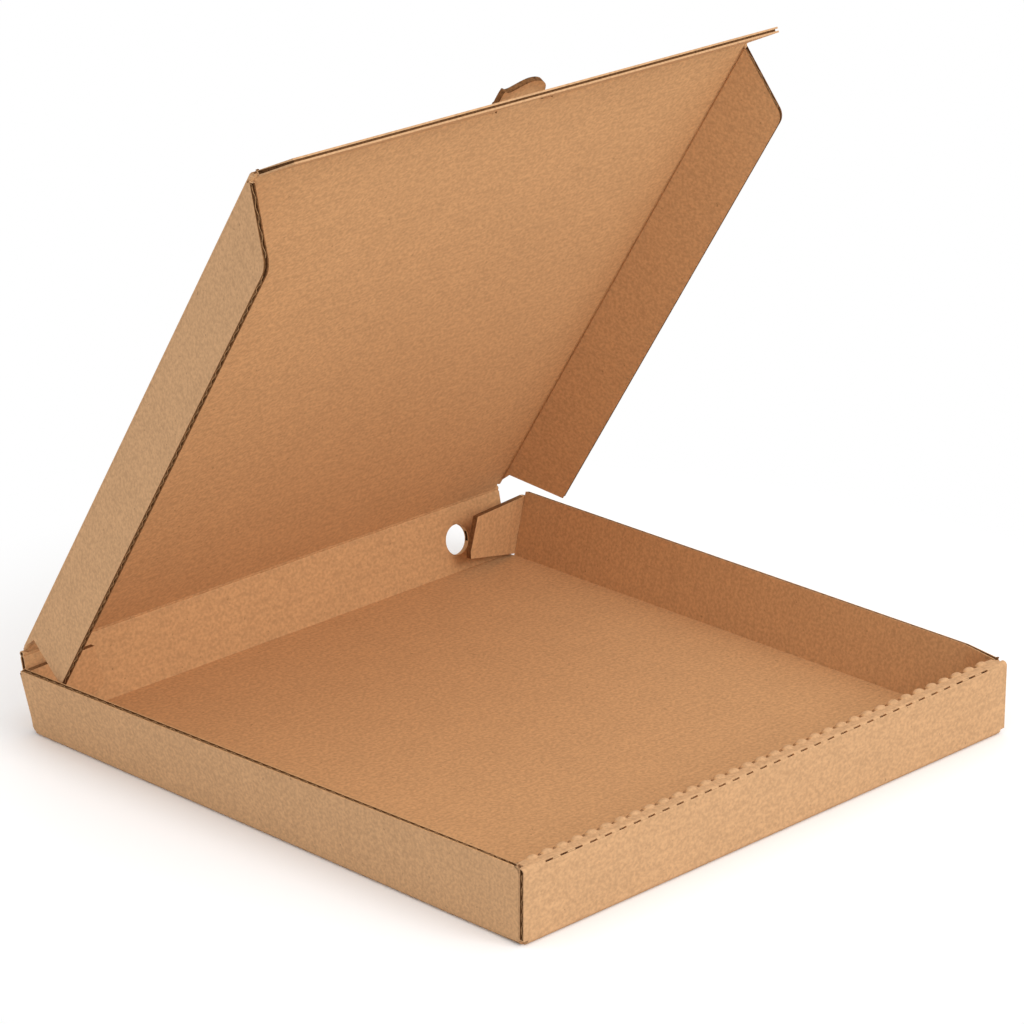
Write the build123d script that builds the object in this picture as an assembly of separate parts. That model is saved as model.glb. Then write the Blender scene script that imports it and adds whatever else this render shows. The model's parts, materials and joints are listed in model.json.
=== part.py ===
from build123d import *
import math
import os

# A one-piece corrugated pizza box, folded up, with its lid standing open.
# Millimetres and degrees. Origin: middle of the floor's underside. +X right, +Y to the hinge, +Z up.

# the sheet
BOARD = 3.0                 # board thickness
CREASE_GAP = 0.15           # air between the two sides of a fold that moves
CREASE_HALF_ANGLE = 36.0    # slope of each side of a pressed crease, from the board's middle plane

# the tray
TRAY_WIDTH = 355.0
TRAY_DEPTH = 359.0
WALL_HEIGHT = 40.0
LEFT_LEAN_FRONT = 0.5       # outward lean of the side walls, just behind the front corner
RIGHT_LEAN_FRONT = 11.0
LEFT_LEAN_REAR = 13.5       # and at their rear ends, where nothing holds them
RIGHT_LEAN_REAR = 14.0
LEAN_RUN = 28.0             # length over which a side wall leaves the upright front corner
WALL_CORNER = 5.0           # rounding of a side wall's top front corner
REAR_LEAN = 12.6            # backward lean of the rear wall
REAR_WALL_HEIGHT = 38.6     # from the floor's top to the lid's crease, along the wall
SEAM = 0.3                  # slack between plies and at cut seams
ROLL_RADIUS = 2.2           # rounding along each fold of the rolled front wall
FRONT_TAB_LENGTH = 70.0     # hidden tabs that the front wall is rolled over

# the row of slits along each fold of the rolled front wall
SLIT_PITCH = 10.0
SLIT_DEPTH = 4.5            # from the sharp corner that the fold would have: right through the board
OUTER_SLIT = (5.0, 0.9)     # length along the fold, and width across it
INNER_SLIT = (2.8, 4.8)     # pulled open by the second fold
LAND_LENGTH = 7.8           # the board between two inner slits, which puckers up into a rounded land
LAND_RADIUS = 2.7           # of a land's middle,
LAND_END_RADIUS = 1.2       # and of its ends, about a line this far below the wall's top
LAND_CENTRE = (2.5, 1.4)    # that line: in from the roll's rear face, and down from the wall's top

# the vent hole in the rear wall
VENT_RADIUS = 8.7
VENT_X = 136.5
VENT_HEIGHT = 21.0          # above the floor's underside, along the wall

# the loose tabs on the side walls' rear ends
TAB_LENGTH = 46.0
TAB_FOLD_HEIGHT = 34.5
TAB_END_HEIGHT = 25.0
TAB_FOOT = 0.8              # gap between a tab and the floor at its fold
TAB_NOSE = 4.0              # height of the slanted nick at the free end's lower corner
TAB_SLANT = 1.5             # how far the free end strays from straight
TAB_INSET = 2 * BOARD + 0.7     # from the tray's rear outline to the tab's fold
LEFT_TAB_SWING = 0.0        # how far each tab has swung off the square
RIGHT_TAB_SWING = 10.0

# the lid
LID_CLEARANCE = 0.6         # between the lid's flaps and the tray's side walls
LID_LENGTH = 347.7          # hinge crease to the lid's front outline
LID_ELEVATION = 58.3        # above the horizontal
SIDE_FLAP_DEPTH = 37.0      # from the lid's middle plane
SIDE_FLAP_REAR_START = 5.0  # where the flap's rear edge leaves the crease, from the hinge
SIDE_FLAP_KNEE = 15.5       # where it bends, to clear the tray's corner tab
SIDE_FLAP_KNEE_DEPTH = 4.0
LEFT_FLAP_REAR_END = 18.0   # and where it meets the free edge
RIGHT_FLAP_REAR_END = 25.0  # cut back further, because this flap splays more and has to clear the wall
SIDE_FLAP_FRONT_CUT = 23.0  # length of crease that the front chamfer takes
SIDE_FLAP_CORNER = 9.0      # radius of the front corner
LEFT_FLAP_SPLAY = 12.0      # outward from square to the lid
RIGHT_FLAP_SPLAY = 18.5
FRONT_FLAP_DEPTH = 27.5
FRONT_FLAP_TAPER = 1.5      # how much shorter its free edge is at each end
FRONT_FLAP_FOLD = 34.0      # turned down from the lid's plane
THUMB_WIDTH = 33.0
THUMB_REACH = 17.5          # past the front crease
THUMB_X = 3.0
THUMB_FULLNESS = 1.12       # shoulders of the half-moon, against an ellipse
THUMB_ROOT = 2.0            # how far its root reaches into the panel
THUMB_GAP = 0.4             # air around it in the front flap's notch

HALF = BOARD / 2
INNER_X = TRAY_WIDTH / 2 - BOARD
FLOOR_REAR_Y = TRAY_DEPTH / 2 - BOARD
FRONT_Y = -TRAY_DEPTH / 2
ROLL_DEPTH = 3 * BOARD + 2 * SEAM
LID_HALF_WIDTH = INNER_X - LID_CLEARANCE
FLAP_AXIS_X = LID_HALF_WIDTH - HALF
FRONT_AXIS_S = LID_LENGTH - HALF
CORE_RADIUS = HALF
SOCKET_RADIUS = CORE_RADIUS + CREASE_GAP
TAB_AXIS_Y = TRAY_DEPTH / 2 - TAB_INSET
BEND_STRIP = 4.0            # width of floor that is built with each wall


def lean_vector(lean):
    """Direction up a wall that leans outward, as (outward, up)."""
    return math.sin(math.radians(lean)), math.cos(math.radians(lean))


REAR_OUT, REAR_UP = lean_vector(REAR_LEAN)
HINGE_Y = FLOOR_REAR_Y + HALF * REAR_UP + REAR_WALL_HEIGHT * REAR_OUT
HINGE_Z = BOARD - HALF * REAR_OUT + REAR_WALL_HEIGHT * REAR_UP


def wall_section(corner, lean, height):
    """Outline of a floor strip, a rounded fold and a leaning wall, as a face in the local XY plane."""
    out, up = lean_vector(lean)
    foot = (corner, BOARD)
    outer = (corner + BOARD * up, BOARD - BOARD * out)
    middle_angle = math.radians(-(90 + lean) / 2)
    middle = (corner + BOARD * math.cos(middle_angle), BOARD + BOARD * math.sin(middle_angle))
    outline = Wire([
        Edge.make_line((corner - BEND_STRIP, 0), (corner, 0)),
        Edge.make_three_point_arc((corner, 0), middle, outer),
        Edge.make_line(outer, (outer[0] + height * out, outer[1] + height * up)),
        Edge.make_line((outer[0] + height * out, outer[1] + height * up),
                       (foot[0] + height * out, foot[1] + height * up)),
        Edge.make_line((foot[0] + height * out, foot[1] + height * up), foot),
        Edge.make_line(foot, (corner - BEND_STRIP, BOARD)),
        Edge.make_line((corner - BEND_STRIP, BOARD), (corner - BEND_STRIP, 0)),
    ])
    return Face(outline)


def prism(points, depth):
    """A polygon in the local XY plane, extruded along +Z."""
    return extrude(make_face(Polyline(*points, close=True)), depth)


def slab(points, lower, upper):
    """A sheet outline in the local XY plane, between two heights."""
    return Pos(0, 0, lower) * prism(points, upper - lower)


def crease_groove(length, both_sides=False):
    """The groove that a pressed crease along +Y leaves in the board on its +X side."""
    rise = BOARD
    run = rise / math.tan(math.radians(CREASE_HALF_ANGLE))
    groove = Plane.XZ.offset(-length) * prism([(-BOARD, 0), (0, 0), (run, rise), (-BOARD, rise)], length)
    if both_sides:
        groove = groove + groove.mirror(Plane.XY)
    return groove


def crease_socket(length, both_sides=False):
    """The groove with room for the crease's core, for the side of the fold that swings."""
    core_room = Pos(0, length / 2, 0) * Rot(90, 0, 0) * Cylinder(SOCKET_RADIUS, length)
    return crease_groove(length, both_sides) + core_room


def side_wall(lean_front, lean_rear, front_y, rear_y):
    """The right-hand side wall with its fold, lofted along Y as its lean changes."""
    height = WALL_HEIGHT - BOARD
    stations = [(front_y, 0.0), (front_y + LEAN_RUN, lean_front), (rear_y, lean_rear)]
    sections = []
    for y, lean in stations:
        plane = Plane(origin=(0, y, 0), x_dir=(1, 0, 0), z_dir=(0, -1, 0))
        sections.append(plane * wall_section(INNER_X, lean, height))
    wall = loft(sections, ruled=True)
    corner = wall.edges().filter_by(Axis.X).group_by(Axis.Y)[0].sort_by(Axis.Z)[-1]
    return fillet(corner, WALL_CORNER)


def tab_frame(lean, swing):
    """Frame of the right-hand tab: X along the tab, Y up its fold, Z to its outer side."""
    out, up = lean_vector(lean)
    s, c = math.sin(math.radians(swing)), math.cos(math.radians(swing))
    along = Vector(-c * up, -s, c * out)
    fold = Vector(out, 0, up)
    return Plane(origin=(INNER_X, TAB_AXIS_Y, BOARD), x_dir=along, z_dir=along.cross(fold))


def corner_tab(lean, swing):
    """The right-hand tab, hinged on the line where the wall's inner face ends."""
    outline = [
        (CREASE_GAP, TAB_FOOT),
        (TAB_LENGTH - TAB_SLANT, TAB_FOOT),
        (TAB_LENGTH, TAB_FOOT + TAB_NOSE),
        (TAB_LENGTH - TAB_SLANT / 2, TAB_END_HEIGHT),
        (CREASE_GAP, TAB_FOLD_HEIGHT),
    ]
    return tab_frame(lean, swing) * slab(outline, 0, BOARD)


def tab_fold(lean):
    """The rounded outside of the tab's fold, which stays on the wall."""
    quarter = prism([(0, 0), (BOARD, 0), (BOARD, BOARD), (0, BOARD)], TAB_FOLD_HEIGHT - TAB_FOOT)
    quarter = quarter & Cylinder(BOARD, 4 * WALL_HEIGHT)
    out, up = lean_vector(lean)
    frame = Plane(origin=(INNER_X, TAB_AXIS_Y, BOARD), x_dir=(up, 0, -out), z_dir=(out, 0, up))
    return frame * Pos(0, 0, TAB_FOOT) * quarter


def front_wall():
    """Outer ply, roll-over and inner ply, with the slits that let the board fold twice."""
    top = WALL_HEIGHT
    ply_top = top - BOARD
    inner = ROLL_DEPTH - BOARD
    inset = BOARD + SEAM
    # local X runs from the outer face to the rear, local Y up
    roll = [(0, ply_top), (ROLL_DEPTH, ply_top), (ROLL_DEPTH, top), (0, top)]
    inner_ply = [(inner, inset), (ROLL_DEPTH, inset), (ROLL_DEPTH, top), (inner, top)]
    frame = Plane(origin=(-TRAY_WIDTH / 2, FRONT_Y, 0), x_dir=(0, 1, 0), z_dir=(1, 0, 0))
    body = prism(roll, TRAY_WIDTH - 2 * inset) + prism(inner_ply, TRAY_WIDTH - 2 * inset)
    crest_edges = body.edges().filter_by(Axis.Z).group_by(Axis.Y)[-1]
    body = Pos(0, 0, inset) * fillet(crest_edges, ROLL_RADIUS)
    ply = prism([(0, BOARD), (BOARD, BOARD), (BOARD, top), (0, top)], TRAY_WIDTH)
    outer_crest = ply.edges().filter_by(Axis.Z).group_by(Axis.Y)[-1].sort_by(Axis.X)[0]
    ply = fillet(outer_crest, ROLL_RADIUS)
    wall = frame * (body + ply)
    foot = Plane(origin=(INNER_X, 0, 0), x_dir=(0, -1, 0), z_dir=(-1, 0, 0))
    foot = foot * extrude(wall_section(-FRONT_Y - BOARD, 0.0, BOARD), 2 * INNER_X)
    return wall + foot


def front_slits():
    """Cutters for the two rows of slits, each set at 45 degrees into its fold."""
    count = int((TRAY_WIDTH - 2 * SLIT_PITCH) // SLIT_PITCH)
    first = -(count - 1) * SLIT_PITCH / 2
    cutters = []
    for fold_y, tilt, (length, width) in ((FRONT_Y, 45, OUTER_SLIT), (FRONT_Y + ROLL_DEPTH, -45, INNER_SLIT)):
        for k in range(count):
            cutter = Rot(tilt, 0, 0) * Box(length, width, 2 * SLIT_DEPTH)
            cutters.append(Pos(first + k * SLIT_PITCH, fold_y, WALL_HEIGHT) * cutter)
    return cutters


def front_lands():
    """The rounded lands that stand along the roll's inner fold, one on each side of every slit."""
    half = LAND_LENGTH / 2
    arc = ThreePointArc((-half, LAND_END_RADIUS), (0, LAND_RADIUS), (half, LAND_END_RADIUS))
    outline = arc + Polyline((half, LAND_END_RADIUS), (half, 0), (-half, 0), (-half, LAND_END_RADIUS))
    land = revolve(make_face(outline), Axis.X)
    back, down = LAND_CENTRE
    count = int((TRAY_WIDTH - 2 * SLIT_PITCH) // SLIT_PITCH) + 1
    first = -(count - 1) * SLIT_PITCH / 2
    return [Pos(first + k * SLIT_PITCH, FRONT_Y + ROLL_DEPTH - back, WALL_HEIGHT - down) * land
            for k in range(count)]


def rear_wall():
    """The rear wall, its fold, the crease core that the lid turns on, and the vent hole."""
    frame = Plane(origin=(-LID_HALF_WIDTH, 0, 0), x_dir=(0, 1, 0), z_dir=(1, 0, 0))
    wall = frame * extrude(wall_section(FLOOR_REAR_Y, REAR_LEAN, REAR_WALL_HEIGHT), 2 * LID_HALF_WIDTH)
    down = Plane(origin=(-LID_HALF_WIDTH, HINGE_Y, HINGE_Z), x_dir=(0, -REAR_OUT, -REAR_UP),
                 z_dir=(0, -REAR_UP, REAR_OUT))
    wall = wall - down * crease_groove(2 * LID_HALF_WIDTH, both_sides=True)
    core = Pos(0, HINGE_Y, HINGE_Z) * Rot(0, 90, 0) * Cylinder(CORE_RADIUS, 2 * LID_HALF_WIDTH)
    climb = VENT_HEIGHT - BOARD
    centre = (VENT_X, FLOOR_REAR_Y + climb * REAR_OUT, BOARD + climb * REAR_UP)
    vent = Plane(origin=centre, z_dir=(0, REAR_UP, -REAR_OUT)) * Cylinder(VENT_RADIUS, 4 * BOARD)
    return wall + core - vent


def tray():
    """Floor, walls and hidden front tabs: one folded sheet."""
    floor = Pos(0, 0, BOARD / 2) * Box(2 * (INNER_X - BEND_STRIP / 2),
                                       TRAY_DEPTH - 2 * BOARD - BEND_STRIP, BOARD)
    seat = FRONT_Y + BOARD + SEAM
    right = side_wall(RIGHT_LEAN_FRONT, RIGHT_LEAN_REAR, seat, TAB_AXIS_Y)
    left = side_wall(LEFT_LEAN_FRONT, LEFT_LEAN_REAR, seat, TAB_AXIS_Y).mirror(Plane.YZ)
    tab_low, tab_high = BOARD + SEAM, WALL_HEIGHT - BOARD - SEAM
    tab = Pos(TRAY_WIDTH / 2 - FRONT_TAB_LENGTH / 2, seat + HALF, (tab_low + tab_high) / 2)
    tab = tab * Box(FRONT_TAB_LENGTH, BOARD, tab_high - tab_low)
    body = floor + right + left + front_wall() + rear_wall()
    body = body + tab + tab.mirror(Plane.YZ)
    body = body + tab_fold(RIGHT_LEAN_REAR) + tab_fold(LEFT_LEAN_REAR).mirror(Plane.YZ)
    for cutter in front_slits():
        body = body - cutter
    for land in front_lands():
        body = body + land
    return body


LID = Plane(origin=(0, HINGE_Y, HINGE_Z), x_dir=(1, 0, 0),
            z_dir=(0, -math.sin(math.radians(LID_ELEVATION)), -math.cos(math.radians(LID_ELEVATION))))


def thumb_outline(grow=0.0):
    """Half-moon that stays in the lid's plane when the front flap is folded."""
    half, reach = THUMB_WIDTH / 2 + grow, THUMB_REACH + grow
    start, crown, end = (half, 0), (0, reach), (-half, 0)
    shoulder = THUMB_FULLNESS * math.sqrt(0.5)
    arc = Spline(start, (half * shoulder, reach * shoulder), crown, (-half * shoulder, reach * shoulder), end,
                 tangents=((0, 1), (0, -1)))
    return make_face(arc + Line(end, start))


def lid_panel():
    """The lid's flat panel with the cores of its three flap creases and its thumb tab."""
    panel = slab([(-FLAP_AXIS_X, 0), (FLAP_AXIS_X, 0), (FLAP_AXIS_X, FRONT_AXIS_S),
                  (-FLAP_AXIS_X, FRONT_AXIS_S)], -HALF, HALF)
    hinge_cut = Plane(origin=(LID_HALF_WIDTH, 0, 0), x_dir=(0, 1, 0), z_dir=(0, 0, 1))
    panel = panel - hinge_cut * crease_socket(2 * LID_HALF_WIDTH, both_sides=True)
    side_cut = Plane(origin=(FLAP_AXIS_X, FRONT_AXIS_S, 0), x_dir=(-1, 0, 0), z_dir=(0, 0, 1))
    side_cut = side_cut * crease_groove(FRONT_AXIS_S)
    front_cut = Plane(origin=(-FLAP_AXIS_X, FRONT_AXIS_S, 0), x_dir=(0, -1, 0), z_dir=(0, 0, 1))
    panel = panel - side_cut - side_cut.mirror(Plane.YZ) - front_cut * crease_groove(2 * FLAP_AXIS_X)
    side_run = FRONT_AXIS_S - SIDE_FLAP_REAR_START
    side_core = Pos(FLAP_AXIS_X, SIDE_FLAP_REAR_START + side_run / 2, 0)
    side_core = side_core * Rot(90, 0, 0) * Cylinder(CORE_RADIUS, side_run)
    front_core = Pos(0, FRONT_AXIS_S, 0) * Rot(0, 90, 0) * Cylinder(CORE_RADIUS, 2 * FLAP_AXIS_X)
    thumb = Pos(THUMB_X, FRONT_AXIS_S - THUMB_ROOT, -HALF) * extrude(thumb_outline(), BOARD)
    return LID * (panel + side_core + side_core.mirror(Plane.YZ) + front_core + thumb)


def side_flap(splay, rear_end):
    """The lid's right-hand side flap, in the lid's frame."""
    front_end = FRONT_AXIS_S - CREASE_GAP - HALF
    outline = [(0, SIDE_FLAP_REAR_START + CREASE_GAP), (SIDE_FLAP_KNEE_DEPTH, SIDE_FLAP_KNEE),
               (SIDE_FLAP_DEPTH, rear_end), (SIDE_FLAP_DEPTH, front_end - SIDE_FLAP_FRONT_CUT),
               (0, front_end)]
    sheet = slab(outline, -HALF, HALF)
    corner = sheet.edges().filter_by(Axis.Z).group_by(Axis.X)[-1].sort_by(Axis.Y)[-1]
    sheet = fillet(corner, SIDE_FLAP_CORNER) - crease_socket(FRONT_AXIS_S)
    s, c = math.sin(math.radians(splay)), math.cos(math.radians(splay))
    return Plane(origin=(FLAP_AXIS_X, 0, 0), x_dir=(s, 0, c), z_dir=(-c, 0, s)) * sheet


def front_flap():
    """The lid's front flap, with the notch that the thumb tab was cut from."""
    half = FLAP_AXIS_X - SOCKET_RADIUS
    s, c = math.sin(math.radians(FRONT_FLAP_FOLD)), math.cos(math.radians(FRONT_FLAP_FOLD))
    sheet = slab([(0, 0), (FRONT_FLAP_DEPTH, FRONT_FLAP_TAPER),
                  (FRONT_FLAP_DEPTH, 2 * half - FRONT_FLAP_TAPER), (0, 2 * half)], -HALF, HALF)
    sheet = sheet - crease_socket(2 * half)
    # local X down the flap, local Y from its right end to its left
    notch = Plane(origin=(-THUMB_ROOT, half - THUMB_X, -BOARD), x_dir=(0, -1, 0), z_dir=(0, 0, 1))
    sheet = sheet - notch * extrude(thumb_outline(THUMB_GAP), 2 * BOARD)
    return Plane(origin=(half, FRONT_AXIS_S, 0), x_dir=(0, c, s), z_dir=(0, -s, c)) * sheet


parts = {
    "tray": tray(),
    "lid_panel": lid_panel(),
    "lid_right_flap": LID * side_flap(RIGHT_FLAP_SPLAY, RIGHT_FLAP_REAR_END),
    "lid_left_flap": LID * side_flap(LEFT_FLAP_SPLAY, LEFT_FLAP_REAR_END).mirror(Plane.YZ),
    "lid_front_flap": LID * front_flap(),
    "right_corner_tab": corner_tab(RIGHT_LEAN_REAR, RIGHT_TAB_SWING),
    "left_corner_tab": corner_tab(LEFT_LEAN_REAR, LEFT_TAB_SWING).mirror(Plane.YZ),
}

os.makedirs("parts", exist_ok=True)
for name, part in parts.items():
    export_step(part, f"parts/{name}.step")
    print(name, "solids", len(part.solids()), "volume", round(part.volume, 2))
print("lid hinge at y", round(HINGE_Y, 4), "z", round(HINGE_Z, 4))
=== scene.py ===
import json
import math

import bmesh
import bpy
from mathutils import Matrix, Vector

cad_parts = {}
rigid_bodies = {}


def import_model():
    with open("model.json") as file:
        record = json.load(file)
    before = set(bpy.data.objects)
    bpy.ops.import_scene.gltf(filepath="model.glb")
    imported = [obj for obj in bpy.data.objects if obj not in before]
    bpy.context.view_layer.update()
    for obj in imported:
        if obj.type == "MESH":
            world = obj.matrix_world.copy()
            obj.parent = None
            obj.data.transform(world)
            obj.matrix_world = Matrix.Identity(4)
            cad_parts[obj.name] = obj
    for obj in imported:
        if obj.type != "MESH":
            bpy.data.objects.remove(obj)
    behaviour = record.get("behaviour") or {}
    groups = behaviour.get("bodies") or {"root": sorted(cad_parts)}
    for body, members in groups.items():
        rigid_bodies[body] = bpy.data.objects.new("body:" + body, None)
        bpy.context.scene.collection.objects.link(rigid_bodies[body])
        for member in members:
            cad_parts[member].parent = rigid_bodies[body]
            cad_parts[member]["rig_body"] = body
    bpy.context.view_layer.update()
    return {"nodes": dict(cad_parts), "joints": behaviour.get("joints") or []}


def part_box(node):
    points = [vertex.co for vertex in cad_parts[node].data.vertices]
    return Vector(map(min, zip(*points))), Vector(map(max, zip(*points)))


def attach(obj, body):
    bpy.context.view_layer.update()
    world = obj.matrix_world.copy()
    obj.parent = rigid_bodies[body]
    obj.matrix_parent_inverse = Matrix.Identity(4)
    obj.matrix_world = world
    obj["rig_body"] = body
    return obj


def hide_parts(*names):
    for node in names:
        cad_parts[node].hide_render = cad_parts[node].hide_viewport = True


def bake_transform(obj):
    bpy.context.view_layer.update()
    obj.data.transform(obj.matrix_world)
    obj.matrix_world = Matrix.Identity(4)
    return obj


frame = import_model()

bl_info = {
    "name": "Folded corrugated pizza box",
    "version": (1, 0, 0),
    "blender": (4, 5, 0),
    "location": "3D View > Sidebar > Pizza box",
    "description": "Dresses a folded one-piece corrugated box: cut edges, fluting, creases and kraft paper",
    "category": "Object",
}

# Metres. The board's own sizes.
MM = 0.001
BOARD = 3.0 * MM
HALF_BOARD = BOARD / 2
JOINTS = {joint["name"]: joint for joint in frame["joints"]}
HINGE = Vector(JOINTS["lid_hinge"]["pos_m"])
RIGHT_CREASE = Vector(JOINTS["lid_right_flap_fold"]["pos_m"])
LEFT_CREASE = Vector(JOINTS["lid_left_flap_fold"]["pos_m"])
FRONT_CREASE = Vector(JOINTS["lid_front_flap_fold"]["pos_m"])
RIGHT_TAB_FOLD = Vector(JOINTS["right_corner_tab_fold"]["pos_m"])
LEFT_TAB_FOLD = Vector(JOINTS["left_corner_tab_fold"]["pos_m"])
ACROSS = Vector((1, 0, 0))
UP_LID = Vector(JOINTS["lid_right_flap_fold"]["axis"]).normalized()
INTO_BOX = ACROSS.cross(UP_LID)

# The tray's walls: where each stands, and what tells it from its neighbours.
TRAY_LOW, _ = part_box("tray")
FRONT_FACE_Y = TRAY_LOW.y
FRONT_PLY_Y = FRONT_FACE_Y + BOARD        # back of the rolled wall's outer ply
ROLL_BACK_Y = FRONT_FACE_Y + 3 * BOARD + 0.6 * MM
WALL_TOP = 40.0 * MM
FULL_HEIGHT = WALL_TOP - 1.5 * MM         # a wall's top edge above this is sunk,
CORNER_DIP = 34.5 * MM                    # and between this and that it is the rounded front corner
INNER_WALL_X = 174.3 * MM                 # inner face of a side wall at its front corner
OUTER_WALL_X = 177.5 * MM
PLY_END_X = 177.0 * MM
REAR_WALL_Y = 170.0 * MM                  # all upright faces behind this are the rear wall's
CORNER_STATION_Y = FRONT_PLY_Y + 5.3 * MM     # end of the rounding of a side wall's top front corner
LEAN_STATION_Y = FRONT_PLY_Y + 28.3 * MM      # where a side wall has reached its lean
REAR_LEAN = math.radians(12.6)

# The flaps' and tabs' outlines.
CREASE_REACH = 2.3 * MM                   # half-width of a pressed crease
CUT_REACH = 2.6 * MM                      # a flap's cut edge starts this far from its crease
CHAMFER_RUN = 23.0 * MM                   # length of crease that a side flap's front chamfer takes
CHAMFER_LENGTH = 43.5 * MM
CORNER_TANGENT = 5.0 * MM
SCORE_BAND = (1.4 * MM, 7.6 * MM)

# The stage, in metres.
FLOOR_SIZE = 30.0
FLOOR_BOUNCE = 0.82                       # the share of light that the floor throws back at the box
WHITE_FROM, WHITE_BEYOND = 0.27, 0.40     # the floor turns plain white between these distances
LAMP_PLACE, LAMP_SIZE = (0.15, -1.75, 1.35), 1.2

# Faces so marked get the dark cut-edge colour, which is partly the board's own fibre and partly painted
# shade of the open flutes.
GROOVE = "groove"                         # the face attribute that marks a sunk cut


# ---------- shared helpers ----------

def deselect_all():
    """Nothing selected, so that the next operator acts on one piece alone."""
    if bpy.context.object and bpy.context.object.mode != "OBJECT":
        bpy.ops.object.mode_set(mode="OBJECT")
    bpy.ops.object.select_all(action="DESELECT")


def make_active(piece):
    """Only this piece selected and active."""
    deselect_all()
    piece.select_set(True)
    bpy.context.view_layer.objects.active = piece


def pick(piece, kind, test):
    """In edit mode, selects the faces, edges or vertices that pass the test, and counts them."""
    mesh = bmesh.from_edit_mesh(piece.data)
    bpy.context.tool_settings.mesh_select_mode = (kind == "verts", kind == "edges", kind == "faces")
    for face in mesh.faces:
        face.select = False
    for edge in mesh.edges:
        edge.select = False
    for vert in mesh.verts:
        vert.select = False
    found = [part for part in getattr(mesh, kind) if test(part)]
    for part in found:
        part.select = True
    mesh.select_flush_mode()
    bmesh.update_edit_mesh(piece.data)
    return len(found)


def merged_copy(node, name):
    """A copy of a CAD node's mesh with its loose triangles merged, to stand for that node."""
    source = frame["nodes"][node]
    body = source["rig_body"]
    make_active(source)
    bpy.ops.object.duplicate(linked=False)
    piece = bpy.context.active_object
    piece.name = name
    for key in list(piece.keys()):
        del piece[key]
    piece.data.materials.clear()
    bpy.ops.object.mode_set(mode="EDIT")
    bpy.ops.mesh.select_all(action="SELECT")
    bpy.ops.mesh.remove_doubles(threshold=0.00001)
    bpy.ops.mesh.dissolve_limited(angle_limit=math.radians(0.05))
    bpy.ops.object.mode_set(mode="OBJECT")
    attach(piece, body)
    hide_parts(node)
    return piece


def sink_cut_edge(piece, test, rim, depth):
    """Turns the picked edge faces into a groove between the board's two rims, and marks the groove for the
    dark cut-edge colour with its painted flute shade.
    """
    make_active(piece)
    bpy.ops.object.mode_set(mode="EDIT")
    found = pick(piece, "faces", test)
    if not found:
        raise RuntimeError(f"{piece.name}: no cut edge was found")
    bpy.ops.mesh.inset(thickness=rim, depth=0.0, use_even_offset=False, use_boundary=True)
    mesh = bmesh.from_edit_mesh(piece.data)
    mark = mesh.faces.layers.int.get(GROOVE) or mesh.faces.layers.int.new(GROOVE)
    for face in mesh.faces:
        if face.select:
            face[mark] = 1
    bmesh.update_edit_mesh(piece.data)
    bpy.ops.mesh.inset(thickness=0.02 * MM, depth=-depth, use_even_offset=False, use_boundary=True)
    bpy.ops.object.mode_set(mode="OBJECT")


def paint(piece, materials, choose):
    """Gives each face the material whose number choose() returns, and a groove the last material: the dark
    cut edge, partly painted shade of the open flutes.
    """
    for material in materials:
        piece.data.materials.append(material)
    marks = piece.data.attributes.get(GROOVE)
    for face in piece.data.polygons:
        sunk = marks is not None and marks.data[face.index].value == 1
        face.material_index = len(materials) - 1 if sunk else choose(face.center, face.normal)
    if marks is not None:
        piece.data.attributes.remove(marks)


def smooth_folds(piece):
    """Rounded folds shade smoothly and flat panels stay flat."""
    make_active(piece)
    bpy.ops.object.shade_smooth_by_angle(angle=math.radians(32))
    weight = piece.modifiers.new("flat_panels", "WEIGHTED_NORMAL")
    weight.keep_sharp = True
    bpy.ops.object.modifier_apply(modifier=weight.name)


def points_of(node, test=None):
    """The different corner points of a CAD node, or those of them that pass the test."""
    vertices = frame["nodes"][node].data.vertices
    unique = {tuple(round(value, 6) for value in vertex.co) for vertex in vertices}
    return [Vector(point) for point in sorted(unique) if test is None or test(Vector(point))]


def middle(points):
    return sum(points, Vector()) / len(points)


def flap_plane(node, crease, axis):
    """The direction from a flap's crease to its free edge, and that edge's two ends."""
    def away(point):
        return point - crease - axis * (point - crease).dot(axis)
    points = points_of(node)
    depth = max(away(point).length for point in points)
    far = [point for point in points if away(point).length > depth - 0.03 * MM]
    down = away(middle(far)).normalized()
    reach = away(middle(far)).length
    places = [(point - crease).dot(axis) for point in far]
    ends = [crease + axis * place + down * reach for place in (min(places), max(places))]
    return down, ends


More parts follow.
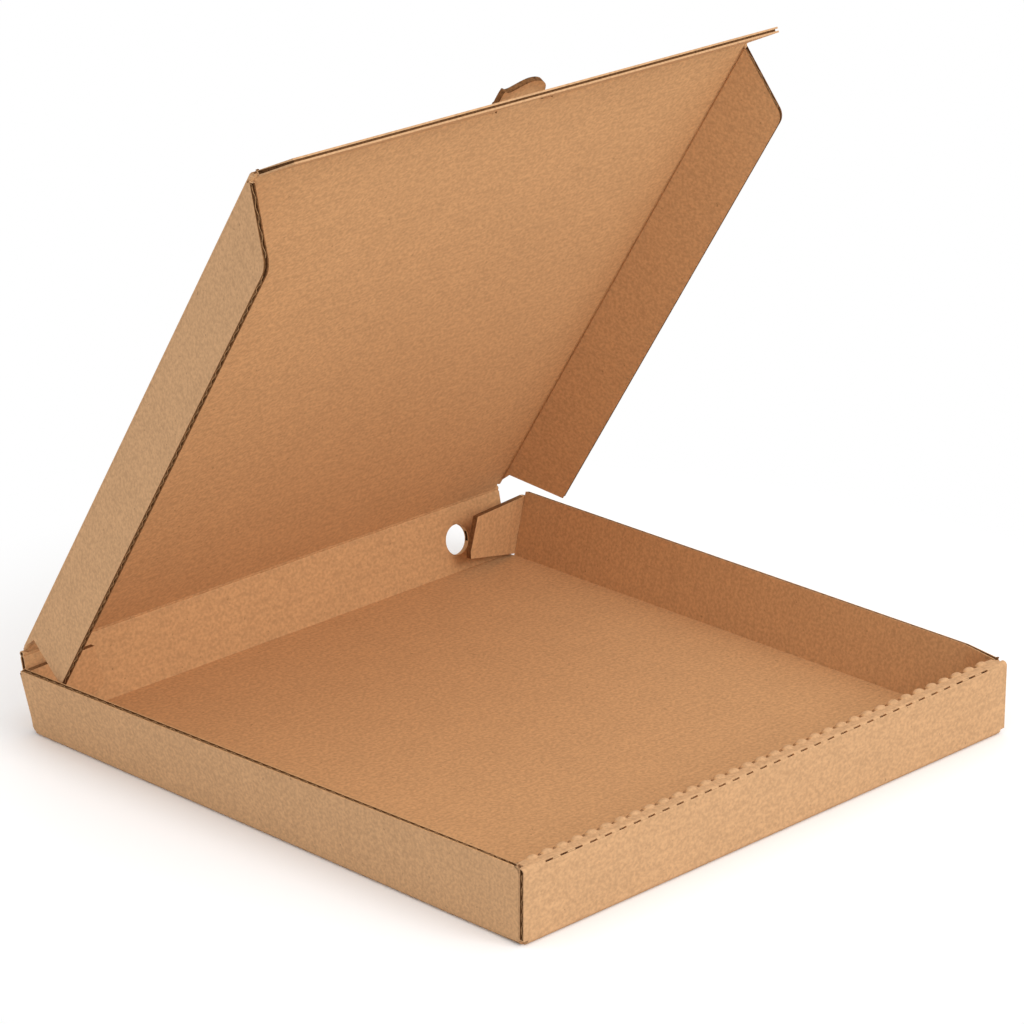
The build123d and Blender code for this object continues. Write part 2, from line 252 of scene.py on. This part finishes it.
def add_fluting(name, start, end, outward, waves, body, material, board):
    """A ribbon of fluting along one cut edge: it weaves between the liners and stops short of the rim."""
    length = (end - start).length
    along = (end - start).normalized()
    outward = (outward - along * outward.dot(along)).normalized()
    steps = max(4, 4 * waves)
    deselect_all()
    bpy.ops.mesh.primitive_grid_add(x_subdivisions=steps, y_subdivisions=1, size=1.0)
    ribbon = bpy.context.active_object
    ribbon.name = name
    ribbon.scale = (length, board.groove_depth, 1)
    bpy.ops.object.transform_apply(location=False, rotation=False, scale=True)
    swing = HALF_BOARD - board.rim_width - board.medium / 2
    step = length / steps
    bpy.ops.object.mode_set(mode="EDIT")
    for crest, height in ((1, swing), (3, -swing)):
        pick(ribbon, "verts", lambda v: round((v.co.x + length / 2) / step) % 4 == crest)
        bpy.ops.transform.translate(value=(0, 0, height))
    bpy.ops.object.mode_set(mode="OBJECT")
    smooth = ribbon.modifiers.new("roundness", "SUBSURF")
    smooth.levels = 1
    smooth.render_levels = 1
    thick = ribbon.modifiers.new("paper", "SOLIDIFY")
    thick.thickness = board.medium
    thick.offset = 0.0
    bpy.ops.object.modifier_apply(modifier=smooth.name)
    bpy.ops.object.modifier_apply(modifier=thick.name)
    centre = (start + end) / 2 - outward * (board.groove_depth / 2 + board.recess)
    side = along.cross(outward)
    place = Matrix((along, outward, side)).transposed().to_4x4()
    place.translation = centre
    ribbon.matrix_world = place
    bpy.ops.object.transform_apply(location=True, rotation=True, scale=True)
    ribbon.data.materials.append(material)
    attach(ribbon, body)
    return ribbon


# ---------- materials ----------

def new_material(name):
    """A new node material, with its nodes, its links and its Principled shader."""
    material = bpy.data.materials.new(name)
    material.use_nodes = True
    nodes, links = material.node_tree.nodes, material.node_tree.links
    return material, nodes, links, nodes["Principled BSDF"]


def noise(nodes, links, coordinates, scale, detail, stretch=(1, 1, 1)):
    """A noise pattern on the piece's own coordinates, in metres."""
    mapping = nodes.new("ShaderNodeMapping")
    mapping.inputs["Scale"].default_value = stretch
    links.new(coordinates, mapping.inputs["Vector"])
    texture = nodes.new("ShaderNodeTexNoise")
    texture.inputs["Scale"].default_value = scale
    texture.inputs["Detail"].default_value = detail
    links.new(mapping.outputs["Vector"], texture.inputs["Vector"])
    return texture.outputs["Fac"]


def ramp(nodes, links, factor, stops):
    """A colour ramp with the given (place, colour) stops."""
    node = nodes.new("ShaderNodeValToRGB")
    elements = node.color_ramp.elements
    while len(elements) < len(stops):
        elements.new(0.5)
    for element, (place, colour) in zip(elements, stops):
        element.position = place
        element.color = (*colour, 1) if len(colour) == 3 else colour
    links.new(factor, node.inputs["Fac"])
    return node.outputs["Color"]


def blend_colours(nodes, links, mode, factor, first, second):
    """Mixes two colours; factor is a number or a socket."""
    mix = nodes.new("ShaderNodeMix")
    mix.data_type = "RGBA"
    mix.blend_type = mode
    if isinstance(factor, float):
        mix.inputs["Factor"].default_value = factor
    else:
        links.new(factor, mix.inputs["Factor"])
    links.new(first, mix.inputs["A"])
    links.new(second, mix.inputs["B"])
    return mix.outputs["Result"]


def grey(level):
    """A neutral colour of this level."""
    return (level, level, level)


def kraft_paper(name, colour, paper, wave_along, pitch):
    """Uncoated kraft liner: mottled pulp, short fibres, stray specks and the fluting that reads through."""
    material, nodes, links, shader = new_material(name)
    here = nodes.new("ShaderNodeTexCoord").outputs["Object"]
    base = tuple(colour)
    dark = tuple(c * (1 - paper.mottling) for c in base)
    light = tuple(min(1.0, c * (1 + paper.mottling)) for c in base)
    tone = ramp(nodes, links, noise(nodes, links, here, 45.0, 3.0), [(0.3, dark), (0.7, light)])
    fibre = ramp(nodes, links, noise(nodes, links, here, 620.0, 3.0, (0.8, 1, 1)),
                 [(0.34, grey(1 - paper.fibre)), (0.66, grey(1.0))])
    tone = blend_colours(nodes, links, "MULTIPLY", 1.0, tone, fibre)
    speck = ramp(nodes, links, noise(nodes, links, here, 430.0, 1.0),
                 [(0.215, grey(0.45)), (0.25, grey(1.0))])
    tone = blend_colours(nodes, links, "MULTIPLY", 0.55, tone, speck)
    wave = nodes.new("ShaderNodeTexWave")
    wave.wave_type = "BANDS"
    wave.bands_direction = "X"
    wave.inputs["Scale"].default_value = math.pi / 10 / pitch
    wave.inputs["Distortion"].default_value = 1.2
    wave.inputs["Detail"].default_value = 2.0
    wave.inputs["Detail Scale"].default_value = 0.2
    turn = nodes.new("ShaderNodeMapping")
    turn.inputs["Rotation"].default_value = Vector(wave_along).rotation_difference(ACROSS).to_euler()
    links.new(here, turn.inputs["Vector"])
    links.new(turn.outputs["Vector"], wave.inputs["Vector"])
    ribs = ramp(nodes, links, wave.outputs["Fac"], [(0.1, grey(1 - paper.read_through)), (0.9, grey(1.0))])
    tone = blend_colours(nodes, links, "MULTIPLY", 1.0, tone, ribs)
    links.new(tone, shader.inputs["Base Color"])
    shader.inputs["Roughness"].default_value = 0.88
    shader.inputs["Specular IOR Level"].default_value = 0.18
    grain = noise(nodes, links, here, 900.0, 3.0, (0.8, 1, 1))
    height = nodes.new("ShaderNodeMath")
    height.operation = "MULTIPLY_ADD"
    height.inputs[1].default_value = paper.rib_relief
    links.new(wave.outputs["Fac"], height.inputs[0])
    links.new(grain, height.inputs[2])
    bump = nodes.new("ShaderNodeBump")
    bump.inputs["Strength"].default_value = 0.35
    bump.inputs["Distance"].default_value = 0.08 * MM
    links.new(height.outputs["Value"], bump.inputs["Height"])
    links.new(bump.outputs["Normal"], shader.inputs["Normal"])
    return material


def cut_board(name, colour):
    """The raw cut edge: torn fibres, rougher than the liners and darker; the cut-edge colour is partly the
    fibre's own and partly painted shade of the open flutes.
    """
    material, nodes, links, shader = new_material(name)
    here = nodes.new("ShaderNodeTexCoord").outputs["Object"]
    base = tuple(colour)
    tone = ramp(nodes, links, noise(nodes, links, here, 700.0, 5.0),
                [(0.3, tuple(c * 0.55 for c in base)), (0.72, tuple(min(1.0, c * 1.25) for c in base))])
    links.new(tone, shader.inputs["Base Color"])
    shader.inputs["Roughness"].default_value = 0.95
    shader.inputs["Specular IOR Level"].default_value = 0.1
    bump = nodes.new("ShaderNodeBump")
    bump.inputs["Strength"].default_value = 0.6
    bump.inputs["Distance"].default_value = 0.15 * MM
    links.new(noise(nodes, links, here, 1400.0, 3.0), bump.inputs["Height"])
    links.new(bump.outputs["Normal"], shader.inputs["Normal"])
    return material


# ---------- settings ----------

class BoardSettings(bpy.types.PropertyGroup):
    """How the corrugated board is made up."""
    liner: bpy.props.FloatProperty(name="Liner", description="Thickness of each paper liner",
                                   default=0.42 * MM, unit="LENGTH")
    torn_rim: bpy.props.FloatProperty(name="Torn rim", description="Width of a rim cut along the flutes",
                                      default=0.95 * MM, unit="LENGTH")
    medium: bpy.props.FloatProperty(name="Medium", description="Thickness of the fluted paper",
                                    default=0.28 * MM, unit="LENGTH")
    pitch: bpy.props.FloatProperty(name="Flute pitch", description="Distance from one flute to the next",
                                   default=6.3 * MM, unit="LENGTH")
    groove_depth: bpy.props.FloatProperty(name="Cut depth", description="How deep a cut edge's groove is",
                                          default=1.6 * MM, unit="LENGTH")
    rim_width: bpy.props.FloatProperty(name="Rim width", description="Width of each rim beside a groove",
                                       default=0.62 * MM, unit="LENGTH")
    recess: bpy.props.FloatProperty(name="Recess", description="How far the fluting stops short of the rim",
                                    default=0.12 * MM, unit="LENGTH")


class PaperSettings(bpy.types.PropertyGroup):
    """The look of the kraft paper."""
    outer: bpy.props.FloatVectorProperty(name="Outer liner", description="Colour of the outer liner",
                                         default=(0.635, 0.37, 0.188), subtype="COLOR", size=3)
    inner: bpy.props.FloatVectorProperty(name="Inner liner", description="Colour of the inner liner",
                                         default=(0.64, 0.35, 0.16), subtype="COLOR", size=3)
    # The cut edge's dark colour is partly the cut board's own fibre and partly painted shade of the open
    # flutes between the liners.
    edge: bpy.props.FloatVectorProperty(name="Cut edge", description="Colour of the cut board",
                                        default=(0.21, 0.095, 0.036), subtype="COLOR", size=3)
    rim: bpy.props.FloatVectorProperty(name="Liner rim", description="Colour of the liners' cut rims",
                                       default=(0.42, 0.23, 0.105), subtype="COLOR", size=3)
    mottling: bpy.props.FloatProperty(name="Mottling", description="Share by which the pulp's tone drifts",
                                      default=0.022, subtype="FACTOR")
    fibre: bpy.props.FloatProperty(name="Fibres", description="How dark the fibres are",
                                   default=0.22, subtype="FACTOR")
    read_through: bpy.props.FloatProperty(name="Read-through", description="How dark the flutes show",
                                          default=0.03, subtype="FACTOR")
    rib_relief: bpy.props.FloatProperty(name="Rib relief", description="Height of the liner's ribs",
                                        default=0.6, subtype="FACTOR")


class StageSettings(bpy.types.PropertyGroup):
    """Camera and studio light."""
    azimuth: bpy.props.FloatProperty(name="Azimuth", description="Camera's turn round the box",
                                     default=math.radians(-45.51), subtype="ANGLE")
    elevation: bpy.props.FloatProperty(name="Elevation", description="Angle of the camera above the floor",
                                       default=math.radians(20.71), subtype="ANGLE")
    roll: bpy.props.FloatProperty(name="Roll", description="Camera's tilt to the side",
                                  default=math.radians(0.16), subtype="ANGLE")
    distance: bpy.props.FloatProperty(name="Distance", description="From the camera to the aim point",
                                      default=2.387, unit="LENGTH")
    aim_side: bpy.props.FloatProperty(name="Aim to the side",
                                      description="Aim point, right of the box's middle",
                                      default=-2.35 * MM, unit="LENGTH")
    aim_up: bpy.props.FloatProperty(name="Aim up", description="Aim point, above the box's middle",
                                    default=113.92 * MM, unit="LENGTH")
    lens: bpy.props.FloatProperty(name="Lens", description="Focal length in millimetres", default=162.3)
    sky: bpy.props.FloatProperty(name="Sky",
                                 description="Strength of the light from all round", default=0.95)
    key: bpy.props.FloatProperty(name="Key lamp",
                                 description="Power of the large lamp, in watts", default=19.0)


def board():
    return bpy.context.scene.pizza_board


def paper():
    return bpy.context.scene.pizza_paper


MATERIALS = {}


def kraft(where):
    """The liner material for one direction of flutes, made once."""
    if where not in MATERIALS:
        side, direction = where
        colour = paper().outer if side == "outer" else paper().inner
        along = {"floor": (0, 1, 0), "upright": (0, 0, 1), "across": (1, 0, 0), "lid": UP_LID}[direction]
        MATERIALS[where] = kraft_paper(f"kraft_{side}_{direction}", colour, paper(), along, board().pitch)
    return MATERIALS[where]


def raw(which):
    """The cut-edge material, dark partly from painted flute shade, or the rim material, made once."""
    if which not in MATERIALS:
        MATERIALS[which] = cut_board(f"cut_{which}", paper().edge if which == "edge" else paper().rim)
    return MATERIALS[which]


# ---------- the pieces ----------

def cut_faces(inward, crease=None, axis=None):
    """A test for a flat piece's cut edge: faces square to the board, away from its crease."""
    def test(face):
        spot = face.calc_center_median()
        if abs(face.normal.dot(inward)) > 0.25:
            return False
        if crease is None:
            return True
        return (spot - crease - axis * (spot - crease).dot(axis)).length > CUT_REACH
    return test


def liner_sides(inward, crease, axis, rim=2):
    """A choice of material for a flat piece: 0 outer liner, 1 inner liner, 2 cut board (dark partly from
    painted flute shade), or rim at a rim.
    """
    def choose(centre, normal):
        near = False
        if crease is not None:
            away = centre - crease
            near = (away - axis * away.dot(axis)).length < CREASE_REACH
        facing = normal.dot(inward)
        if facing > 0.3:
            return 1
        if facing < -0.3 or near:
            return 0
        return rim
    return choose


def add_crease_liner(name, crease, axis, half_length, down_parent, up_child, side):
    """The liner that runs on across a hinge's groove, from one side's surface to the other's."""
    tail, lift, deepest, rows = 3.0 * MM, HALF_BOARD + 0.03 * MM, 0.45 * MM, 6
    parent_normal = axis.cross(down_parent) * side
    child_normal = up_child.cross(axis) * side
    low = crease + down_parent * CREASE_REACH + parent_normal * lift
    high = crease + up_child * CREASE_REACH + child_normal * lift
    span = high - low
    deselect_all()
    bpy.ops.mesh.primitive_grid_add(x_subdivisions=24, y_subdivisions=rows, size=1.0)
    strip = bpy.context.active_object
    strip.name = name
    strip.scale = (2 * half_length, span.length, 1)
    bpy.ops.object.transform_apply(location=False, rotation=False, scale=True)
    bpy.ops.object.mode_set(mode="EDIT")
    for row in range(1, rows):
        place = row / rows - 0.5
        sag = deepest * (1 - 4 * place * place)
        pick(strip, "verts", lambda v: abs(v.co.y - place * span.length) < 0.01 * MM)
        bpy.ops.transform.translate(value=(0, 0, -sag))
    bpy.ops.object.mode_set(mode="OBJECT")
    across = span.normalized()
    facing = axis.cross(across)
    turn = Matrix((axis, across, facing)).transposed().to_4x4()
    if facing.dot(parent_normal) < 0:
        turn = Matrix((-axis, across, -facing)).transposed().to_4x4()
    turn.translation = (low + high) / 2
    strip.matrix_world = turn
    bpy.ops.object.transform_apply(location=True, rotation=True, scale=True)
    bpy.ops.object.mode_set(mode="EDIT")
    for edge_point, direction in ((low, down_parent), (high, up_child)):
        def on_rim(edge):
            spots = [vertex.co - edge_point for vertex in edge.verts]
            return all((spot - axis * spot.dot(axis)).length < 0.02 * MM for spot in spots)
        pick(strip, "edges", on_rim)
        bpy.ops.mesh.extrude_region_move(TRANSFORM_OT_translate={"value": direction * tail})
    bpy.ops.object.mode_set(mode="OBJECT")
    thick = strip.modifiers.new("paper", "SOLIDIFY")
    thick.thickness = 0.12 * MM
    thick.offset = -1.0
    bpy.ops.object.modifier_apply(modifier=thick.name)
    strip.data.materials.append(kraft(("inner", "lid")))
    smooth_folds(strip)
    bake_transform(strip)
    return strip


class PIZZABOX_OT_tray(bpy.types.Operator):
    """Builds the tray: floor, walls and rolled front, with open cut edges"""
    bl_idname = "pizzabox.tray"
    bl_label = "Tray"

    def execute(self, context):
        make = board()
        piece = merged_copy("tray", "tray_board")
        groove = make.groove_depth + 0.4 * MM

        def wall_top(face):
            spot = face.calc_center_median()
            return (face.normal.z > 0.9 and abs(spot.x) > INNER_WALL_X and spot.z > FULL_HEIGHT
                    and spot.y > FRONT_PLY_Y)

        def ply_end(face):
            spot = face.calc_center_median()
            return abs(face.normal.x) > 0.95 and spot.y < FRONT_PLY_Y and abs(spot.x) > PLY_END_X

        def rear_end(face):
            spot = face.calc_center_median()
            return abs(face.normal.x) > 0.95 and spot.y > RIGHT_TAB_FOLD.y + BOARD and spot.z > BOARD

        for edge in (wall_top, ply_end, rear_end):
            sink_cut_edge(piece, edge, make.rim_width, groove)

        def choose(centre, normal):
            on_wall_top = abs(centre.x) > INNER_WALL_X and normal.z > 0.9 and centre.y > FRONT_PLY_Y
            # The top of a wall at its rounded front corner gets the dark cut-edge colour, partly painted
            # flute shade.
            if on_wall_top and CORNER_DIP < centre.z < FULL_HEIGHT:
                return 5
            if normal.z < -0.7:
                return 0
            if centre.y < ROLL_BACK_Y and abs(normal.x) < 0.5:
                return 1
            if abs(normal.x) > 0.7 and normal.x * centre.x > 0:
                return 0
            if normal.y > 0.7 and centre.y > REAR_WALL_Y:
                return 3
            if normal.y < -0.7 and centre.y > REAR_WALL_Y:
                return 4
            return 2

        # Material 5 is the dark cut edge, partly painted shade of the open flutes.
        paint(piece, [kraft(("outer", "floor")), kraft(("outer", "upright")), kraft(("inner", "floor")),
                      kraft(("outer", "upright")), kraft(("inner", "upright")), raw("edge")], choose)
        smooth_folds(piece)
        for side, word in ((1, "right"), (-1, "left")):
            ends = [middle(points_of("tray", lambda p: abs(p.y - CORNER_STATION_Y) < 0.6 * MM
                                     and p.z > WALL_TOP - 0.5 * MM
                                     and INNER_WALL_X < p.x * side < OUTER_WALL_X))]
            for y in (LEAN_STATION_Y, RIGHT_TAB_FOLD.y):
                ends.append(middle(points_of("tray", lambda p: abs(p.y - y) < 0.3 * MM
                                             and p.z > WALL_TOP - 2 * MM
                                             and p.x * side > INNER_WALL_X - 0.3 * MM)))
            for number, (start, end) in enumerate(zip(ends, ends[1:])):
                inset = (end - start).normalized() * make.liner
                waves = round((end - start).length / make.pitch)
                add_fluting(f"{word}_wall_fluting_{number}", start + inset, end - inset, Vector((0, 0, 1)),
                            waves, "tray", raw("rim"), make)
            low = Vector((side * OUTER_WALL_X, FRONT_FACE_Y + HALF_BOARD, BOARD + make.liner))
            high = Vector((side * OUTER_WALL_X, FRONT_FACE_Y + HALF_BOARD, WALL_TOP - BOARD))
            add_fluting(f"{word}_front_end_fluting", low, high, Vector((side, 0, 0)),
                        round((high - low).length / make.pitch), "tray", raw("rim"), make)
        return {"FINISHED"}


class PIZZABOX_OT_lid(bpy.types.Operator):
    """Builds the lid's panel and its thumb tab"""
    bl_idname = "pizzabox.lid"
    bl_label = "Lid panel"

    def execute(self, context):
        make = board()
        piece = merged_copy("lid_panel", "lid_panel_board")
        past_crease = FRONT_CREASE + UP_LID * 1.7 * MM
        sides = liner_sides(INTO_BOX, None, None)

        def choose(centre, normal):
            side = sides(centre, normal)
            on_thumb = (centre - past_crease).dot(UP_LID) > -0.3 * MM
            return 0 if side == 2 and not on_thumb else side

        paint(piece, [kraft(("outer", "lid")), kraft(("inner", "lid")), raw("edge")], choose)
        smooth_folds(piece)
        return {"FINISHED"}


class PIZZABOX_OT_lid_flaps(bpy.types.Operator):
    """Builds the lid's two side flaps and its front flap"""
    bl_idname = "pizzabox.lid_flaps"
    bl_label = "Lid flaps"

    def execute(self, context):
        make = board()
        for word, crease, side in (("right", RIGHT_CREASE, 1), ("left", LEFT_CREASE, -1)):
            node = f"lid_{word}_flap"
            down, (rear, front) = flap_plane(node, crease, UP_LID)
            inward = (down.cross(UP_LID) * side).normalized()
            piece = merged_copy(node, node + "_board")
            sink_cut_edge(piece, cut_faces(inward, crease, UP_LID), make.rim_width, make.groove_depth)
            paint(piece, [kraft(("outer", "lid")), kraft(("inner", "lid")), raw("edge")],
                  liner_sides(inward, crease, UP_LID))
            smooth_folds(piece)
            add_fluting(f"{node}_fluting", rear + UP_LID * make.liner, front - UP_LID * make.liner, down,
                        round((front - rear).length / make.pitch), node, raw("rim"), make)
            corner = front + UP_LID * CORNER_TANGENT
            chamfer = (UP_LID * CHAMFER_RUN - down * (corner - crease).dot(down)).normalized()
            start = corner + chamfer * CORNER_TANGENT
            end = corner + chamfer * (CHAMFER_LENGTH - BOARD)
            outward = (UP_LID - chamfer * chamfer.dot(UP_LID)).normalized()
            add_fluting(f"{node}_chamfer_fluting", start, end, outward, 4, node, raw("rim"), make)

        axis = ACROSS
        down, _ = flap_plane("lid_front_flap", FRONT_CREASE, axis)
        inward = axis.cross(down).normalized()
        if inward.dot(INTO_BOX) < 0:
            inward = -inward
        piece = merged_copy("lid_front_flap", "lid_front_flap_board")
        sink_cut_edge(piece, cut_faces(inward, FRONT_CREASE, axis), make.torn_rim, make.groove_depth)
        paint(piece, [kraft(("outer", "lid")), kraft(("inner", "lid")), raw("edge")],
              liner_sides(inward, FRONT_CREASE, axis, rim=0))
        smooth_folds(piece)
        return {"FINISHED"}


class PIZZABOX_OT_corner_tabs(bpy.types.Operator):
    """Builds the two loose tabs at the tray's rear corners, with their crushed double score"""
    bl_idname = "pizzabox.corner_tabs"
    bl_label = "Corner tabs"

    def execute(self, context):
        make = board()
        for word, fold, side in (("right", RIGHT_TAB_FOLD, 1), ("left", LEFT_TAB_FOLD, -1)):
            node = f"{word}_corner_tab"
            axis = Vector(JOINTS[f"{word}_corner_tab_fold"]["axis"])
            axis = axis if axis.z > 0 else -axis
            along, (low, high) = flap_plane(node, fold, axis)
            inward = (along.cross(axis) * -side).normalized()
            if inward.y > 0:
                inward = -inward
            piece = merged_copy(node, node + "_board")
            make_active(piece)
            bpy.ops.object.mode_set(mode="EDIT")
            for distance in SCORE_BAND:
                bpy.ops.mesh.select_all(action="SELECT")
                bpy.ops.mesh.bisect(plane_co=fold + along * distance, plane_no=along)

            def band(face):
                place = (face.calc_center_median() - fold).dot(along)
                return face.normal.dot(inward) > 0.9 and SCORE_BAND[0] < place < SCORE_BAND[1]

            if pick(piece, "faces", band):
                bpy.ops.mesh.inset(thickness=0.5 * MM, depth=-0.35 * MM, use_even_offset=True)
            bpy.ops.object.mode_set(mode="OBJECT")
            paint(piece, [kraft(("inner", "across")), kraft(("inner", "across")), raw("edge")],
                  liner_sides(inward, fold, axis))
            smooth_folds(piece)
        return {"FINISHED"}


class PIZZABOX_OT_hinge_liner(bpy.types.Operator):
    """Lays the inner liner over the lid's crease, curved across it from the rear wall to the lid"""
    bl_idname = "pizzabox.hinge_liner"
    bl_label = "Hinge liner"

    def execute(self, context):
        down = Vector((0, -math.sin(REAR_LEAN), -math.cos(REAR_LEAN)))
        add_crease_liner("hinge_inner_liner", Vector((0, HINGE.y, HINGE.z)), ACROSS,
                         abs(RIGHT_CREASE.x) - 1.5 * MM, down, UP_LID, 1)
        return {"FINISHED"}


def add_floor():
    """A floor that keeps the box's shadow and turns plain white further out."""
    deselect_all()
    bpy.ops.mesh.primitive_plane_add(size=FLOOR_SIZE, location=(0, 0, TRAY_LOW.z - 0.05 * MM))
    floor = bpy.context.active_object
    floor.name = "studio_floor"
    material, nodes, links, shader = new_material("studio_white")
    path = nodes.new("ShaderNodeLightPath")
    albedo = nodes.new("ShaderNodeMapRange")
    albedo.inputs["To Min"].default_value = FLOOR_BOUNCE
    albedo.inputs["To Max"].default_value = 1.0
    links.new(path.outputs["Is Camera Ray"], albedo.inputs["Value"])
    links.new(albedo.outputs["Result"], shader.inputs["Base Color"])
    shader.inputs["Roughness"].default_value = 0.9
    shader.inputs["Specular IOR Level"].default_value = 0.0
    white = nodes.new("ShaderNodeEmission")
    white.inputs["Strength"].default_value = 1.0
    reach = nodes.new("ShaderNodeVectorMath")
    reach.operation = "LENGTH"
    links.new(nodes.new("ShaderNodeTexCoord").outputs["Object"], reach.inputs[0])
    far = nodes.new("ShaderNodeMapRange")
    far.inputs["From Min"].default_value = WHITE_FROM
    far.inputs["From Max"].default_value = WHITE_BEYOND
    links.new(reach.outputs["Value"], far.inputs["Value"])
    seen = nodes.new("ShaderNodeMath")
    seen.operation = "MULTIPLY"
    links.new(path.outputs["Is Camera Ray"], seen.inputs[0])
    links.new(far.outputs["Result"], seen.inputs[1])
    surface = nodes.new("ShaderNodeMixShader")
    links.new(seen.outputs["Value"], surface.inputs["Fac"])
    links.new(shader.outputs["BSDF"], surface.inputs[1])
    links.new(white.outputs["Emission"], surface.inputs[2])
    links.new(surface.outputs["Shader"], nodes["Material Output"].inputs["Surface"])
    floor.data.materials.append(material)


def add_sky(strength):
    """Even light from all round, seen by the camera and in reflections as plain white."""
    world = bpy.data.worlds.new("studio")
    bpy.context.scene.world = world
    world.use_nodes = True
    nodes, links = world.node_tree.nodes, world.node_tree.links
    background = nodes["Background"]
    path = nodes.new("ShaderNodeLightPath")
    seen = nodes.new("ShaderNodeMath")
    seen.operation = "MAXIMUM"
    links.new(path.outputs["Is Camera Ray"], seen.inputs[0])
    links.new(path.outputs["Is Glossy Ray"], seen.inputs[1])
    level = nodes.new("ShaderNodeMix")
    level.data_type = "FLOAT"
    level.inputs["A"].default_value = strength
    level.inputs["B"].default_value = 1.0
    links.new(seen.outputs["Value"], level.inputs["Factor"])
    links.new(level.outputs["Result"], background.inputs["Strength"])
    background.inputs["Color"].default_value = (1, 1, 1, 1)


def add_key_lamp(power):
    """One large soft lamp, in front of the box and above it."""
    bpy.ops.object.light_add(type="AREA", location=LAMP_PLACE)
    lamp = bpy.context.active_object
    lamp.name = "key_softbox"
    lamp.data.shape = "SQUARE"
    lamp.data.size = LAMP_SIZE
    lamp.data.energy = power
    lamp.rotation_euler = (Vector((0, 0, 0)) - lamp.location).to_track_quat("-Z", "Y").to_euler()


def add_camera(stage):
    """The camera, turned about the box's middle and aimed a little above it."""
    azimuth, elevation = stage.azimuth, stage.elevation
    back = Vector((math.sin(azimuth) * math.cos(elevation), -math.cos(azimuth) * math.cos(elevation),
                   math.sin(elevation)))
    right = Vector((math.cos(azimuth), math.sin(azimuth), 0))
    up = back.cross(right)
    aim = right * stage.aim_side + up * stage.aim_up
    turned_right = right * math.cos(stage.roll) + up * math.sin(stage.roll)
    bpy.ops.object.camera_add(location=(0, 0, 0))
    camera = bpy.context.active_object
    camera.name = "camera"
    pose = Matrix((turned_right, back.cross(turned_right), back)).transposed().to_4x4()
    pose.translation = aim + back * stage.distance
    camera.matrix_world = pose
    camera.data.lens = stage.lens
    camera.data.clip_end = 60.0
    bpy.context.scene.camera = camera


class PIZZABOX_OT_stage(bpy.types.Operator):
    """Sets the pale floor, the soft light and the camera"""
    bl_idname = "pizzabox.stage"
    bl_label = "Stage"

    def execute(self, context):
        stage = context.scene.pizza_stage
        add_floor()
        add_sky(stage.sky)
        add_key_lamp(stage.key)
        add_camera(stage)
        context.scene.view_settings.view_transform = "Standard"
        return {"FINISHED"}


class PIZZABOX_PT_panel(bpy.types.Panel):
    """Lists the settings and the steps"""
    bl_label = "Pizza box"
    bl_idname = "PIZZABOX_PT_panel"
    bl_space_type = "VIEW_3D"
    bl_region_type = "UI"
    bl_category = "Pizza box"

    def draw(self, context):
        layout = self.layout
        for group in (context.scene.pizza_board, context.scene.pizza_paper, context.scene.pizza_stage):
            box = layout.box()
            for name in group.bl_rna.properties.keys():
                if name not in ("rna_type", "name"):
                    box.prop(group, name)
        for step in STEPS:
            layout.operator(step.bl_idname)


STEPS = (PIZZABOX_OT_tray, PIZZABOX_OT_lid, PIZZABOX_OT_lid_flaps, PIZZABOX_OT_corner_tabs,
         PIZZABOX_OT_hinge_liner, PIZZABOX_OT_stage)
CLASSES = (BoardSettings, PaperSettings, StageSettings, *STEPS, PIZZABOX_PT_panel)


def register():
    for cls in CLASSES:
        bpy.utils.register_class(cls)
    bpy.types.Scene.pizza_board = bpy.props.PointerProperty(type=BoardSettings)
    bpy.types.Scene.pizza_paper = bpy.props.PointerProperty(type=PaperSettings)
    bpy.types.Scene.pizza_stage = bpy.props.PointerProperty(type=StageSettings)


def unregister():
    del bpy.types.Scene.pizza_board
    del bpy.types.Scene.pizza_paper
    del bpy.types.Scene.pizza_stage
    for cls in reversed(CLASSES):
        bpy.utils.unregister_class(cls)


def main():
    """Builds every piece, then the stage."""
    register()
    bpy.ops.pizzabox.tray()
    bpy.ops.pizzabox.lid()
    bpy.ops.pizzabox.lid_flaps()
    bpy.ops.pizzabox.corner_tabs()
    bpy.ops.pizzabox.hinge_liner()
    bpy.ops.pizzabox.stage()


if __name__ == "__main__":
    main()
